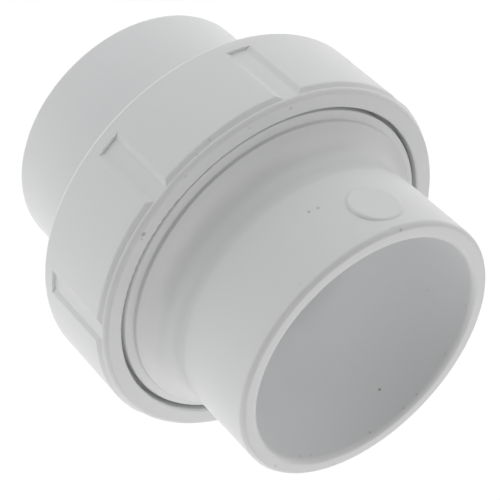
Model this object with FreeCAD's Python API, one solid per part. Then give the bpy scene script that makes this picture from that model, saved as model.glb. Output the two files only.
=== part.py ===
"""Solvent socket union for 63 mm pressure pipe: four pieces on one upright flow axis.

The threaded end stands on its socket mouth at z = 0. The tail end sits on it with an
O-ring between the faces, and the union nut holds the tail's flange down on the thread.
All lengths are in millimetres, and every radius is measured from the flow axis, +Z.
"""
import FreeCAD
import Part
import math
import os

# Both pipe sockets
LENGTH = 99.0                # overall, from one socket mouth to the other
PIPE_R = 31.6                # socket wall, a slip fit for solvent cement
SOCKET_R = 36.2              # outside of both socket tubes
SOCKET_DEPTH = 43.5          # from the mouth to the pipe stop
WATERWAY_R = 28.2            # clear way between the two pipe stops
MOUTH_ROUND_IN = 1.4
MOUTH_ROUND_OUT = 1.3
STOP_ROUND = 0.8             # inside corner at the foot of each socket
WATERWAY_ROUND = 0.5         # both edges of each waterway
EDGE_ROUND = 0.4             # ordinary edges and inside corners of the mouldings
SMALL_ROUND = 0.2            # edges of the O-ring groove, and the foot of the hub's step

# Seal between the two ends
SEAL_Z = 53.2                # flat sealing face of the threaded end
SEAL_GAP = 0.4               # the O-ring keeps the two faces this far apart
GROOVE_IN_R = 34.5
GROOVE_OUT_R = 39.5
GROOVE_DEPTH = 3.0
RING_WIDTH = 4.2             # of the squeezed O-ring, which fills most of its groove
RING_PLAY = 0.02             # between the ring and each face that it seals on
RING_FLAT = 0.2              # height of the flat left on the side of the squeezed ring

# Tail flange and the hub that comes up through the nut
FLANGE_R = 45.6
FLANGE_TOP = 58.15
HUB_R = 43.5
HUB_RIM_Z = 61.8
STEP_R = 41.35               # small step between the hub's rim and the flare
STEP_FOOT_Z = 62.3
STEP_TOP_Z = 63.3
STEP_ROUND = 0.3
SHOULDER_Z = 75.4            # where the tail's tube starts to narrow
SHOULDER_ROUND = 5.0
WAIST_ROUND = 8.2
SHOULDER_SLOPE = math.radians(22)
FLARE_SLOPE = math.radians(63)

# Blank round pad on the tail's tube, with a flat face
PAD_R = 6.7
PAD_HEIGHT = 0.25
PAD_SINK = 2.0               # how deep the pad is buried in the tube's wall
PAD_ROUND = 0.9
PAD_Z = 89.0
PAD_ANGLE = -141.5

# Union thread, right-handed, trapezoid
PITCH = 4.0
THREAD_ROOT_R = 45.5
THREAD_CREST_R = 46.9
ROOT_WIDTH = 2.2             # of the male ridge at its root
FLANK_SLOPE = 0.36           # axial change for each millimetre of radius
THREAD_START = 38.8
NUT_MINOR_R = 45.8
NUT_MAJOR_R = 47.2
FLANK_PLAY = 0.2             # axial play on each flank of the thread
THREAD_END = 0.5             # the thread stops this far short of the part's end
THREAD_RELIEF = 0.6          # the core runs this far on below the male thread
RIDGE_SINK = 0.3             # how deep the ridge's root is buried in its core

# Shoulder below the male thread
COLLAR_FOOT_Z = 29.8
COLLAR_ROUND = 3.0

# Union nut
NUT_BACK = 35.6
NUT_FRONT = 62.4
NUT_HOLE_R = 44.5
LIP_UNDERSIDE = 58.2
THREAD_TOP = 53.4            # the female thread stops here, below the tail's flange
RING_R = 49.35               # front ring, and the floor of the grip grooves
FRONT_ROUND = 1.2
HOLE_ROUND = 0.5
LAND_R = 50.1
LAND_FRONT = 59.9            # here the lands begin to slope down to the ring
SLOPE_FOOT = 61.05
LAND_FRONT_ROUND = 1.0
BACK_ROUND = 1.4
SLEEVE_FOOT = 37.2           # the lands stand on a plain band that ends here
GRIP_COUNT = 8
GRIP_FLOOR_WIDTH = 4.2
GRIP_MOUTH_WIDTH = 7.0
GRIP_ROUND = 1.5             # where the groove's sides meet the lands
GRIP_BACK = 39.9
SLEEVE_SINK = 0.5            # the lands' sleeve is buried this deep in the nut
CUT_MARGIN = 2.0             # a cutter reaches this far past what it cuts

AXIS = FreeCAD.Vector(0, 0, 1)
ORIGIN = FreeCAD.Vector(0, 0, 0)


def at(r, z):
    """A point of the half section, which lies in the X-Z plane."""
    return FreeCAD.Vector(r, 0, z)


def corner_arc(before, corner, after, radius):
    """Tangent arc that rounds one corner of an outline."""
    to_before = (before - corner).normalize()
    to_after = (after - corner).normalize()
    half = to_before.getAngle(to_after) / 2
    reach = radius / math.tan(half)
    middle = (to_before + to_after).normalize()
    centre = corner + middle * (radius / math.sin(half))
    return Part.Arc(corner + to_before * reach, centre - middle * radius, corner + to_after * reach)


def outline(corners):
    """Closed wire through (r, z) corners; a third number rounds that corner."""
    points = [at(c[0], c[1]) for c in corners]
    radii = [c[2] if len(c) > 2 else 0 for c in corners]
    count = len(corners)
    stretches = []
    for i in range(count):
        if radii[i]:
            arc = corner_arc(points[i - 1], points[i], points[(i + 1) % count], radii[i]).toShape()
            stretches.append((arc, arc.firstVertex().Point, arc.lastVertex().Point))
        else:
            stretches.append((None, points[i], points[i]))
    edges = []
    for i in range(count):
        arc, _, end = stretches[i]
        if arc:
            edges.append(arc)
        start_of_next = stretches[(i + 1) % count][1]
        if end.distanceToPoint(start_of_next) > 1e-6:
            edges.append(Part.makeLine(end, start_of_next))
    return Part.Wire(edges)


def revolved(corners):
    """Solid of revolution about the flow axis."""
    return Part.Face(outline(corners)).revolve(ORIGIN, AXIS, 360)


def helical_ridge(buried_r, crest_r, buried_width, crest_width, bottom, top, phase=0):
    """Trapezoid ridge wound on the flow axis; its middle passes angle 0 at z = phase."""
    section = Part.makePolygon([
        at(buried_r, -buried_width / 2),
        at(crest_r, -crest_width / 2),
        at(crest_r, crest_width / 2),
        at(buried_r, buried_width / 2),
        at(buried_r, -buried_width / 2),
    ])
    first_turn = math.floor((bottom - phase) / PITCH)
    turns = math.ceil((top - phase) / PITCH) - first_turn
    path = Part.Wire(Part.makeHelix(PITCH, turns * PITCH, buried_r))
    ridge = path.makePipeShell([section], True, True)
    ridge.translate(FreeCAD.Vector(0, 0, first_turn * PITCH + phase))
    return ridge


def male_width(r):
    """Axial width of the male ridge at radius r."""
    return ROOT_WIDTH - 2 * FLANK_SLOPE * (r - THREAD_ROOT_R)


def female_width(r):
    """Axial width of the female ridge at radius r, which leaves play on both flanks."""
    return PITCH - male_width(r) - 2 * FLANK_PLAY


def make_threaded_end():
    """Pipe socket below, male union thread above, flat sealing face on top."""
    body = revolved([
        (PIPE_R, 0, MOUTH_ROUND_IN),
        (PIPE_R, SOCKET_DEPTH, STOP_ROUND),
        (WATERWAY_R, SOCKET_DEPTH, WATERWAY_ROUND),
        (WATERWAY_R, SEAL_Z, WATERWAY_ROUND),
        (THREAD_ROOT_R, SEAL_Z, EDGE_ROUND),
        (THREAD_ROOT_R, THREAD_START - THREAD_RELIEF, EDGE_ROUND),
        (SOCKET_R, COLLAR_FOOT_Z, COLLAR_ROUND),
        (SOCKET_R, 0, MOUTH_ROUND_OUT),
    ])
    outside = THREAD_CREST_R + RIDGE_SINK
    fade = outside - THREAD_ROOT_R
    thread_top = SEAL_Z - THREAD_END
    within = THREAD_ROOT_R - 2 * RIDGE_SINK
    thread_room = revolved([
        (within, THREAD_START),
        (within, thread_top),
        (THREAD_ROOT_R, thread_top),
        (outside, thread_top - fade),
        (outside, THREAD_START + fade),
        (THREAD_ROOT_R, THREAD_START),
    ])
    buried_r = THREAD_ROOT_R - RIDGE_SINK
    ridge = helical_ridge(buried_r, THREAD_CREST_R, male_width(buried_r), male_width(THREAD_CREST_R),
                          THREAD_START - PITCH, SEAL_Z + PITCH)
    return body.fuse(ridge.common(thread_room))


def waist_corner():
    """Corner between the shoulder's slope and the flare, so that their two rounds meet."""
    shoulder_reach = SHOULDER_ROUND * math.tan(SHOULDER_SLOPE / 2)
    waist_reach = WAIST_ROUND * math.tan((SHOULDER_SLOPE + FLARE_SLOPE) / 2)
    run = shoulder_reach + waist_reach + 0.01
    return (SOCKET_R - run * math.sin(SHOULDER_SLOPE),
            SHOULDER_Z - run * math.cos(SHOULDER_SLOPE), WAIST_ROUND)


def make_pad():
    """Low blank disc with a flat face and a soft edge."""
    angle = math.radians(PAD_ANGLE)
    outward = FreeCAD.Vector(math.cos(angle), math.sin(angle), 0)
    middle = FreeCAD.Vector(0, 0, PAD_Z)
    foot = middle + outward * (SOCKET_R - PAD_SINK)
    face = middle + outward * (SOCKET_R + PAD_HEIGHT)
    disc = Part.makeCylinder(PAD_R, PAD_SINK + PAD_HEIGHT, foot, outward)
    rim = [edge for edge in disc.Edges if edge.CenterOfMass.distanceToPoint(face) < PAD_ROUND]
    return disc.makeFillet(PAD_ROUND, rim)


def make_tail_end():
    """Pipe socket above, waist, and the flange that the nut holds down."""
    flange_bottom = SEAL_Z + SEAL_GAP
    groove_top = flange_bottom + GROOVE_DEPTH
    stop_z = LENGTH - SOCKET_DEPTH
    body = revolved([
        (SOCKET_R, LENGTH, MOUTH_ROUND_OUT),
        (SOCKET_R, SHOULDER_Z, SHOULDER_ROUND),
        waist_corner(),
        (STEP_R, STEP_TOP_Z, STEP_ROUND),
        (STEP_R, STEP_FOOT_Z, SMALL_ROUND),
        (HUB_R, HUB_RIM_Z, EDGE_ROUND),
        (HUB_R, FLANGE_TOP, EDGE_ROUND),
        (FLANGE_R, FLANGE_TOP, EDGE_ROUND),
        (FLANGE_R, flange_bottom, EDGE_ROUND),
        (GROOVE_OUT_R, flange_bottom, SMALL_ROUND),
        (GROOVE_OUT_R, groove_top, EDGE_ROUND),
        (GROOVE_IN_R, groove_top, EDGE_ROUND),
        (GROOVE_IN_R, flange_bottom, SMALL_ROUND),
        (WATERWAY_R, flange_bottom, WATERWAY_ROUND),
        (WATERWAY_R, stop_z, WATERWAY_ROUND),
        (PIPE_R, stop_z, STOP_ROUND),
        (PIPE_R, LENGTH, MOUTH_ROUND_IN),
    ])
    return body.fuse(make_pad())


def make_o_ring():
    """Squeezed O-ring, filling the height between its groove and the sealing face."""
    bottom = SEAL_Z + RING_PLAY
    top = SEAL_Z + SEAL_GAP + GROOVE_DEPTH - RING_PLAY
    middle = (GROOVE_IN_R + GROOVE_OUT_R) / 2
    edge = (top - bottom - RING_FLAT) / 2
    corners = [(-1, bottom), (1, bottom), (1, top), (-1, top)]
    return revolved([(middle + side * RING_WIDTH / 2, z, edge) for side, z in corners])


def grip_cutter():
    """Prism along the flow axis that cuts one grip groove, with sloping sides."""
    floor, mouth = GRIP_FLOOR_WIDTH / 2, GRIP_MOUTH_WIDTH / 2
    floor_r = math.sqrt(RING_R ** 2 - floor ** 2)
    mouth_r = math.sqrt(LAND_R ** 2 - mouth ** 2)
    half = [(RING_R - CUT_MARGIN, floor), (floor_r, floor), (mouth_r, mouth, GRIP_ROUND),
            (mouth_r, 2 * mouth), (LAND_R + CUT_MARGIN, 2 * mouth)]
    other_half = [(corner[0], -corner[1], *corner[2:]) for corner in reversed(half)]
    prism = Part.Face(outline(half + other_half)).extrude(FreeCAD.Vector(0, LAND_FRONT, 0))
    prism.rotate(ORIGIN, FreeCAD.Vector(1, 0, 0), 90)
    prism.translate(FreeCAD.Vector(0, 0, GRIP_BACK))
    return prism


def grip_lands():
    """Outer sleeve of the nut, cut into lands by the grip grooves."""
    sunk_r = RING_R - SLEEVE_SINK
    slope = (SLOPE_FOOT - LAND_FRONT) / (LAND_R - RING_R)
    lands = revolved([
        (sunk_r, SLEEVE_FOOT),
        (LAND_R, SLEEVE_FOOT),
        (LAND_R, LAND_FRONT, LAND_FRONT_ROUND),
        (sunk_r, LAND_FRONT + (LAND_R - sunk_r) * slope),
    ])
    for i in range(GRIP_COUNT):
        groove = grip_cutter()
        groove.rotate(ORIGIN, AXIS, i * 360 / GRIP_COUNT)
        lands = lands.cut(groove)
    return lands


def make_union_nut():
    """Female thread, front lip over the tail's flange, eight grip grooves outside."""
    shell = revolved([
        (NUT_MAJOR_R, NUT_BACK, EDGE_ROUND),
        (NUT_MAJOR_R, LIP_UNDERSIDE, EDGE_ROUND),
        (NUT_HOLE_R, LIP_UNDERSIDE, EDGE_ROUND),
        (NUT_HOLE_R, NUT_FRONT, HOLE_ROUND),
        (RING_R, NUT_FRONT, FRONT_ROUND),
        (RING_R, SLEEVE_FOOT),
        (LAND_R, SLEEVE_FOOT),
        (LAND_R, NUT_BACK, BACK_ROUND),
    ])
    inside = NUT_MINOR_R - RIDGE_SINK
    buried_r = NUT_MAJOR_R + RIDGE_SINK
    fade = NUT_MAJOR_R - inside
    thread_bottom = NUT_BACK + THREAD_END
    within = buried_r + RIDGE_SINK
    thread_room = revolved([
        (within, thread_bottom),
        (within, THREAD_TOP),
        (NUT_MAJOR_R, THREAD_TOP),
        (inside, THREAD_TOP - fade),
        (inside, thread_bottom + fade),
        (NUT_MAJOR_R, thread_bottom),
    ])
    ridge = helical_ridge(buried_r, NUT_MINOR_R, female_width(buried_r), female_width(NUT_MINOR_R),
                          NUT_BACK - PITCH, THREAD_TOP + PITCH, PITCH / 2)
    return shell.fuse(grip_lands()).fuse(ridge.common(thread_room))


def main():
    """Write every piece to its own STEP file."""
    os.makedirs("parts", exist_ok=True)
    pieces = {
        "threaded_end": make_threaded_end(),
        "o_ring": make_o_ring(),
        "tail_end": make_tail_end(),
        "union_nut": make_union_nut(),
    }
    for name, shape in pieces.items():
        shape = shape.removeSplitter()
        print(name, shape.ShapeType, len(shape.Solids), shape.isValid(), round(shape.Volume, 1))
        solid = shape.Solids[0] if len(shape.Solids) == 1 else shape
        solid.exportStep("parts/" + name + ".step")


main()
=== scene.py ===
"""Looks for the union fitting: moulded white PVC and black rubber on a bright studio floor.

Lengths are metres, in the CAD model's own frame. The fitting stands on the mouth of its threaded end,
with the tail end on top. The camera looks down on it from the -Y side, rolled so that the axis runs
across the view.
"""

import math

import bpy
from mathutils import Matrix, Vector


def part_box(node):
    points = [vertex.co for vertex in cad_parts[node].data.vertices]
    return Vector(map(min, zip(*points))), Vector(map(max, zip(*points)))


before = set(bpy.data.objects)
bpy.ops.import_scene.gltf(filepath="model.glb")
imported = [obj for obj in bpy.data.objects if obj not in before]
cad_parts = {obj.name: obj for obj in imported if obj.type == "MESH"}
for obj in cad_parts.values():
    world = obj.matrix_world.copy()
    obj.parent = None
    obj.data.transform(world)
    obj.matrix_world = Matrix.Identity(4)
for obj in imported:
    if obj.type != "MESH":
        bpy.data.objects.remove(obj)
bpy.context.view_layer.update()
scene = bpy.context.scene

# camera
LENS = 123.33                      # mm
SENSOR_WIDTH = 36.0                # mm
CAMERA_AZIMUTH = -7.7              # degrees, here and for every light: 0 is the -Y side, 90 the +X side
CAMERA_ELEVATION = 36.68
CAMERA_ROLL = 133.71
CAMERA_DISTANCE = 0.4315
CAMERA_TARGET = Vector((0.0024, 0.0048, 0.0496))
CLIP_START = 0.01
CLIP_END = 10.0

# softboxes
LIGHT_AIM = Vector((0, 0, 0.05))   # about the middle of the fitting
LIGHT_DISTANCE = 1.0
LIGHT_COLOR = (1.0, 0.988, 0.983)  # a trace warm
SOFTBOX_SIZE = 0.7
SOFTBOXES = {                      # name: azimuth, elevation, power in watts
    "left_low_softbox": (90, 12, 0.88),
    "left_softbox": (90, 35, 1.18),
    "front_left_softbox": (45, 60, 1.57),
    "front_softbox": (0, 60, 0.58),
    "front_right_softbox": (-45, 60, 0.92),
    "right_low_softbox": (-90, 12, 0.3),
    "right_softbox": (-90, 35, 1.47),
    "back_left_low_softbox": (135, 12, 1.72),
    "back_left_softbox": (135, 35, 1.22),
    "back_low_softbox": (180, 12, 0.69),
    "back_softbox": (180, 35, 1.55),
    "back_right_low_softbox": (-135, 12, 1.27),
    "back_right_softbox": (-135, 35, 0.44),
}

# floor and sky
PURE_WHITE = (1, 1, 1)
FLOOR_SIZE = 6.0
FLOOR_GREY = (0.33, 0.33, 0.33)    # kept dark, because its own glow makes it white
FLOOR_ROUGHNESS = 0.9
FLOOR_GLOW = 0.825                 # close to the fitting
FLOOR_GLOW_FAR = 0.49
FLOOR_GLOW_CENTRE = (0, 0.2, 0)
FLOOR_GLOW_INNER = 0.47            # radii between which the glow falls off
FLOOR_GLOW_OUTER = 0.85
SKY_GLOW = FLOOR_GLOW_FAR          # seen behind the floor's edge, but it lights nothing

# white plastic; each scale is in cells to the metre, and each range is of the noise's values
WHITE = (0.869, 0.880, 0.887)
WHITE_WARM = (0.860, 0.868, 0.868)
GRIME = (0.33, 0.30, 0.27)
PVC_IOR = 1.53
PATCH_SCALE = 45                   # slow drifts from the white to the warmer one
PATCH_RANGE = (0.4, 0.75)
PATCH_STRENGTH = 0.5
SPECK_SCALE = 150                  # one possible speck in each cell
SPECK_EDGE = (0.012, 0.022)        # its radius where it starts and ends fading, in cells
SPECK_RANGE = (0.9, 0.92)          # few cells have such a high value, and only they show a speck
SPECK_STRENGTH = 0.5
SPOT_EDGE = (0.5, 1.2)             # where a spot starts and ends fading, as shares of its radius
GLOSS_SCALE = 500
GLOSS_RANGE = (0.3, 0.7)
GLOSS_ROUGHNESS = (0.3, 0.35)
STREAK_SCALES = (900, 900, 90)     # faint draw marks along the axis
STREAK_RANGE = (0.5, 0.8)
STREAK_ROUGHNESS = 0.04
RIPPLE_SCALE = 160                 # shrink waviness, about 6 mm across
RIPPLE_HEIGHT = 0.00003
RIPPLE_STRENGTH = 0.15
GRAIN_SCALE = 7000                 # mould grain, 0.14 mm across
GRAIN_HEIGHT = 0.000004
GRAIN_STRENGTH = 0.3

# rubber
RUBBER_BLACK = (0.014, 0.014, 0.015)
RUBBER_BLOOM = (0.035, 0.034, 0.033)
RUBBER_IOR = 1.5
BLOOM_SCALE = 300
BLOOM_RANGE = (0.35, 0.75)
RUBBER_GLOSS_SCALE = 2500
RUBBER_GLOSS_RANGE = (0.3, 0.7)
RUBBER_ROUGHNESS = (0.5, 0.75)
RUBBER_GRAIN_SCALE = 5000
RUBBER_GRAIN_HEIGHT = 0.00001
RUBBER_GRAIN_STRENGTH = 0.6

# dirt spots: angle about the axis in degrees, distance from the axis, height, radius, how dark
TUBE_RADIUS = 0.0362
BORE_RADIUS = 0.0316
MOUTH_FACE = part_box("tail_end")[1].z
NUT_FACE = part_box("union_nut")[1].z
TAIL_SPOTS = (
    (-119.5, TUBE_RADIUS, 0.0829, 0.00042, 0.5),
    (-123.0, TUBE_RADIUS, 0.0833, 0.00045, 0.4),
    (-98.5, TUBE_RADIUS, 0.0963, 0.00035, 0.12),
    (74.0, BORE_RADIUS, 0.0894, 0.0004, 0.95),
    (125.0, BORE_RADIUS, 0.0845, 0.0004, 0.15),
    (-141.0, 0.0356, 0.0988, 0.00045, 0.4),
    (0.0, 0.0345, MOUTH_FACE, 0.00035, 0.35),
    (15.5, BORE_RADIUS, 0.0973, 0.00035, 0.45),
    (22.5, BORE_RADIUS, 0.0972, 0.0003, 0.35),
    (35.5, 0.0347, MOUTH_FACE, 0.0004, 0.2),
    (56.5, BORE_RADIUS, 0.0975, 0.00035, 0.4),
    (75.5, BORE_RADIUS, 0.0979, 0.00035, 0.3),
    (84.0, BORE_RADIUS, 0.0978, 0.0003, 0.3),
    (106.5, BORE_RADIUS, 0.0974, 0.0003, 0.25),
    (133.5, BORE_RADIUS, 0.0974, 0.0003, 0.25),
)
NUT_SPOTS = (
    (-78.5, 0.0477, NUT_FACE, 0.00065, 0.55),
    (-77.0, 0.0474, NUT_FACE, 0.0004, 0.35),
    (-98.0, 0.0482, NUT_FACE, 0.0004, 0.25),
    (-104.0, 0.0493, 0.0611, 0.00035, 0.2),
    (-109.0, 0.0497, 0.0604, 0.0004, 0.25),
    (-113.5, 0.0458, NUT_FACE, 0.00035, 0.15),
    (-120.0, 0.0474, NUT_FACE, 0.0003, 0.3),
    (-134.0, 0.0473, NUT_FACE, 0.00045, 0.35),
)

# places of the color sockets on Blender's mix node
MIX_FIRST = 6
MIX_SECOND = 7
MIX_RESULT = 2


def facing(target, azimuth, elevation, distance):
    """The placement of a camera or light that looks at the target from that side, upright."""
    azimuth, elevation = math.radians(azimuth), math.radians(elevation)
    back = Vector((math.sin(azimuth) * math.cos(elevation),
                   -math.cos(azimuth) * math.cos(elevation),
                   math.sin(elevation)))
    turn = (-back).to_track_quat("-Z", "Y").to_matrix().to_4x4()
    return Matrix.Translation(target + back * distance) @ turn


def make_camera():
    """The camera, turned about its own line of sight by the roll."""
    data = bpy.data.cameras.new("camera")
    data.lens = LENS
    data.sensor_width = SENSOR_WIDTH
    data.clip_start = CLIP_START
    data.clip_end = CLIP_END
    camera = bpy.data.objects.new("camera", data)
    scene.collection.objects.link(camera)
    level = facing(CAMERA_TARGET, CAMERA_AZIMUTH, CAMERA_ELEVATION, CAMERA_DISTANCE)
    camera.matrix_world = level @ Matrix.Rotation(math.radians(CAMERA_ROLL), 4, "Z")
    scene.camera = camera


def make_softbox(name, azimuth, elevation, power):
    """A square softbox that faces the middle of the fitting."""
    data = bpy.data.lights.new(name, "AREA")
    data.shape = "SQUARE"
    data.size = SOFTBOX_SIZE
    data.energy = power
    data.color = LIGHT_COLOR
    light = bpy.data.objects.new(name, data)
    scene.collection.objects.link(light)
    light.matrix_world = facing(LIGHT_AIM, azimuth, elevation, LIGHT_DISTANCE)


def make_sky():
    """A pale sky that only the camera sees."""
    world = bpy.data.worlds.new("studio")
    scene.world = world
    world.use_nodes = True
    background = world.node_tree.nodes["Background"]
    background.inputs["Color"].default_value = (*PURE_WHITE, 1)
    background.inputs["Strength"].default_value = SKY_GLOW
    for ray in ("diffuse", "glossy", "transmission", "scatter"):
        setattr(world.cycles_visibility, ray, False)


class Look:
    """A new material with one principled shader, and short ways to add nodes to it."""

    def __init__(self, name):
        self.material = bpy.data.materials.new(name)
        self.material.use_nodes = True
        self.tree = self.material.node_tree
        self.shader = self.tree.nodes["Principled BSDF"]
        self.place = self.tree.nodes.new("ShaderNodeTexCoord").outputs["Object"]

    def feed(self, socket, value):
        """Gives a socket a number, an RGB triple, or another node's output."""
        if isinstance(value, bpy.types.NodeSocket):
            self.tree.links.new(value, socket)
        elif socket.type == "RGBA":
            socket.default_value = (*value, 1)
        else:
            socket.default_value = value

    def surface(self, socket_name, value):
        """Sets one input of the shader."""
        self.feed(self.shader.inputs[socket_name], value)

    def noise(self, scale, detail, place=None):
        node = self.tree.nodes.new("ShaderNodeTexNoise")
        self.feed(node.inputs["Vector"], place or self.place)
        node.inputs["Scale"].default_value = scale
        node.inputs["Detail"].default_value = detail
        return node.outputs["Fac"]

    def stretched(self, factors):
        node = self.tree.nodes.new("ShaderNodeMapping")
        self.feed(node.inputs["Vector"], self.place)
        node.inputs["Scale"].default_value = factors
        return node.outputs["Vector"]

    def remap(self, value, source, target):
        """Turns the source range into the target range, and holds its ends outside it."""
        node = self.tree.nodes.new("ShaderNodeMapRange")
        self.feed(node.inputs["Value"], value)
        node.inputs["From Min"].default_value = source[0]
        node.inputs["From Max"].default_value = source[1]
        node.inputs["To Min"].default_value = target[0]
        node.inputs["To Max"].default_value = target[1]
        return node.outputs["Result"]

    def combine(self, operation, first, second):
        node = self.tree.nodes.new("ShaderNodeMath")
        node.operation = operation
        self.feed(node.inputs[0], first)
        self.feed(node.inputs[1], second)
        return node.outputs["Value"]

    def distance_from(self, point):
        node = self.tree.nodes.new("ShaderNodeVectorMath")
        node.operation = "DISTANCE"
        self.feed(node.inputs[0], self.place)
        node.inputs[1].default_value = point
        return node.outputs["Value"]

    def blend(self, amount, first, second):
        node = self.tree.nodes.new("ShaderNodeMix")
        node.data_type = "RGBA"
        self.feed(node.inputs["Factor"], amount)
        self.feed(node.inputs[MIX_FIRST], first)
        self.feed(node.inputs[MIX_SECOND], second)
        return node.outputs[MIX_RESULT]

    def specks(self):
        """Specks scattered at random: their strength inside one, 0 outside."""
        cells = self.tree.nodes.new("ShaderNodeTexVoronoi")
        self.feed(cells.inputs["Vector"], self.place)
        cells.inputs["Scale"].default_value = SPECK_SCALE
        chosen = self.tree.nodes.new("ShaderNodeSeparateColor")
        self.feed(chosen.inputs["Color"], cells.outputs["Color"])
        near = self.remap(cells.outputs["Distance"], SPECK_EDGE, (1.0, 0.0))
        rare = self.remap(chosen.outputs["Red"], SPECK_RANGE, (0.0, SPECK_STRENGTH))
        return self.combine("MULTIPLY", near, rare)

    def spot(self, angle, distance, height, radius):
        """1 inside a small round spot, 0 outside. The angle and distance are about the fitting's axis."""
        angle = math.radians(angle)
        away = self.distance_from((distance * math.cos(angle), distance * math.sin(angle), height))
        return self.remap(away, [radius * share for share in SPOT_EDGE], (1.0, 0.0))

    def bump(self, height, distance, strength, under=None):
        node = self.tree.nodes.new("ShaderNodeBump")
        node.inputs["Strength"].default_value = strength
        node.inputs["Distance"].default_value = distance
        self.feed(node.inputs["Height"], height)
        if under:
            self.feed(node.inputs["Normal"], under)
        return node.outputs["Normal"]


def moulded_pvc(name, spots):
    """White PVC-U: fine mould grain, slow shrink waviness, uneven gloss, draw marks and dirt."""
    look = Look(name)
    patches = look.remap(look.noise(PATCH_SCALE, 3), PATCH_RANGE, (0.0, PATCH_STRENGTH))
    dirt = look.specks()
    for *place_and_radius, darkness in spots:
        spot = look.combine("MULTIPLY", look.spot(*place_and_radius), darkness)
        dirt = look.combine("MAXIMUM", dirt, spot)
    gloss = look.remap(look.noise(GLOSS_SCALE, 4), GLOSS_RANGE, GLOSS_ROUGHNESS)
    streaks = look.noise(1.0, 4, look.stretched(STREAK_SCALES))
    streaks = look.remap(streaks, STREAK_RANGE, (0.0, STREAK_ROUGHNESS))
    ripple = look.bump(look.noise(RIPPLE_SCALE, 1), RIPPLE_HEIGHT, RIPPLE_STRENGTH)
    grain = look.bump(look.noise(GRAIN_SCALE, 2), GRAIN_HEIGHT, GRAIN_STRENGTH, ripple)
    look.surface("Base Color", look.blend(dirt, look.blend(patches, WHITE, WHITE_WARM), GRIME))
    look.surface("Roughness", look.combine("ADD", gloss, streaks))
    look.surface("IOR", PVC_IOR)
    look.surface("Normal", grain)
    return look.material


def moulded_rubber():
    """Black EPDM, matt, with a dusty bloom."""
    look = Look("black_rubber")
    bloom = look.remap(look.noise(BLOOM_SCALE, 4), BLOOM_RANGE, (0.0, 1.0))
    gloss = look.remap(look.noise(RUBBER_GLOSS_SCALE, 3), RUBBER_GLOSS_RANGE, RUBBER_ROUGHNESS)
    grain = look.bump(look.noise(RUBBER_GRAIN_SCALE, 3), RUBBER_GRAIN_HEIGHT, RUBBER_GRAIN_STRENGTH)
    look.surface("Base Color", look.blend(bloom, RUBBER_BLACK, RUBBER_BLOOM))
    look.surface("Roughness", gloss)
    look.surface("IOR", RUBBER_IOR)
    look.surface("Normal", grain)
    return look.material


def make_floor():
    """A plain white floor, lit from inside like a light table, so that it stays white under the fitting."""
    bpy.ops.mesh.primitive_plane_add(size=FLOOR_SIZE, location=(0, 0, 0))
    floor = bpy.context.object
    floor.name = "floor"
    look = Look("floor_white")
    look.surface("Base Color", FLOOR_GREY)
    look.surface("Roughness", FLOOR_ROUGHNESS)
    look.surface("Specular IOR Level", 0.0)
    look.surface("Emission Color", PURE_WHITE)
    away = look.distance_from(FLOOR_GLOW_CENTRE)
    glow = look.remap(away, (FLOOR_GLOW_INNER, FLOOR_GLOW_OUTER), (FLOOR_GLOW, FLOOR_GLOW_FAR))
    look.surface("Emission Strength", glow)
    floor.data.materials.append(look.material)


def dress(node, material):
    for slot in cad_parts[node].material_slots:
        slot.material = material


scene.view_settings.view_transform = "Standard"
make_camera()
for softbox, (side, tilt, watts) in SOFTBOXES.items():
    make_softbox(softbox, side, tilt, watts)
make_sky()
make_floor()
dress("tail_end", moulded_pvc("white_pvc_tail", TAIL_SPOTS))
dress("threaded_end", moulded_pvc("white_pvc_body", ()))
dress("union_nut", moulded_pvc("white_pvc_nut", NUT_SPOTS))
dress("o_ring", moulded_rubber())
